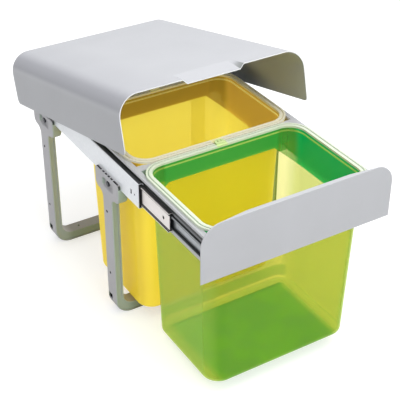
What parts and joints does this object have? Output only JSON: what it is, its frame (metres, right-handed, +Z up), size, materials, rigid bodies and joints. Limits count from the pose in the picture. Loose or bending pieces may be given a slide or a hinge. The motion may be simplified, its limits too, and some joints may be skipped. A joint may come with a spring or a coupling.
{
  "type": "pull-out waste bin unit",
  "caption": "Pull-out waste unit for a floor cabinet: tapered bins hang in a drawer frame on ball slides between U-shaped legs, under a hinged sheet lid.",
  "frame": {"origin": "on the cabinet floor, in the middle of the four floor screw holes", "axes": "+X to the right seen from the front, +Y to the rear of the cabinet, +Z up; the drawer pulls out along -Y"},
  "size_m": [0.346, 0.6775, 0.4544],
  "materials": {
    "leg_plastic": "moulded, satin",
    "slide_steel": "zinc plated",
    "ball_steel": "polished",
    "fastener_steel": "zinc plated",
    "frame_paint": "powder coat",
    "cover_paint": "silver powder coat",
    "stop_rubber": "matte",
    "green_plastic": "translucent",
    "yellow_plastic": "translucent"
  },
  "bodies": {
    "base": {"front_leg_frame": "leg_plastic", "rear_leg_frame": "leg_plastic", "left_fixed_channel": "slide_steel", "right_fixed_channel": "slide_steel", "lug_screws": "fastener_steel", "rear_stops": "stop_rubber", "left_hinge_bracket": "frame_paint", "right_hinge_bracket": "frame_paint", "left_hinge_pin": "fastener_steel", "right_hinge_pin": "fastener_steel", "bracket_rivets": "fastener_steel"},
    "outer_cages": {"left_outer_cage": "slide_steel", "right_outer_cage": "slide_steel", "outer_cage_balls": "ball_steel"},
    "mid_slides": {"left_mid_channel": "slide_steel", "right_mid_channel": "slide_steel"},
    "inner_cages": {"left_inner_cage": "slide_steel", "right_inner_cage": "slide_steel", "inner_cage_balls": "ball_steel"},
    "drawer": {"left_inner_channel": "slide_steel", "right_inner_channel": "slide_steel", "left_side_rail": "frame_paint", "right_side_rail": "frame_paint", "front_cross_rail": "frame_paint", "middle_cross_rail": "frame_paint", "rear_cross_rail": "frame_paint", "rail_rivets": "fastener_steel", "front_panel": "cover_paint", "panel_nuts": "fastener_steel", "green_bin": "green_plastic", "yellow_bin": "yellow_plastic"},
    "lid": {"lid_cover": "cover_paint", "left_lid_ear": "cover_paint", "right_lid_ear": "cover_paint"}
  },
  "joints": [
    {"name": "drawer_slide", "type": "slide", "parent": "base", "child": "drawer", "axis": [0, -1, 0], "range_m": [-0.2015, 0.2385]},
    {"name": "outer_cage_slide", "type": "slide", "parent": "base", "child": "outer_cages", "axis": [0, -1, 0], "range_m": [-0.05038, 0.05963]},
    {"name": "mid_slide", "type": "slide", "parent": "base", "child": "mid_slides", "axis": [0, -1, 0], "range_m": [-0.10075, 0.11925]},
    {"name": "inner_cage_slide", "type": "slide", "parent": "base", "child": "inner_cages", "axis": [0, -1, 0], "range_m": [-0.15113, 0.17888]},
    {"name": "lid_hinge", "type": "hinge", "parent": "base", "child": "lid", "pos_m": [0, 0.1865, 0.28], "axis": [1, 0, 0], "range_deg": [0, 13.9]}
  ],
  "couplings": [
    {"joint": "outer_cage_slide", "follows": "drawer_slide", "ratio": 0.25},
    {"joint": "mid_slide", "follows": "drawer_slide", "ratio": 0.5},
    {"joint": "inner_cage_slide", "follows": "drawer_slide", "ratio": 0.75}
  ]
}
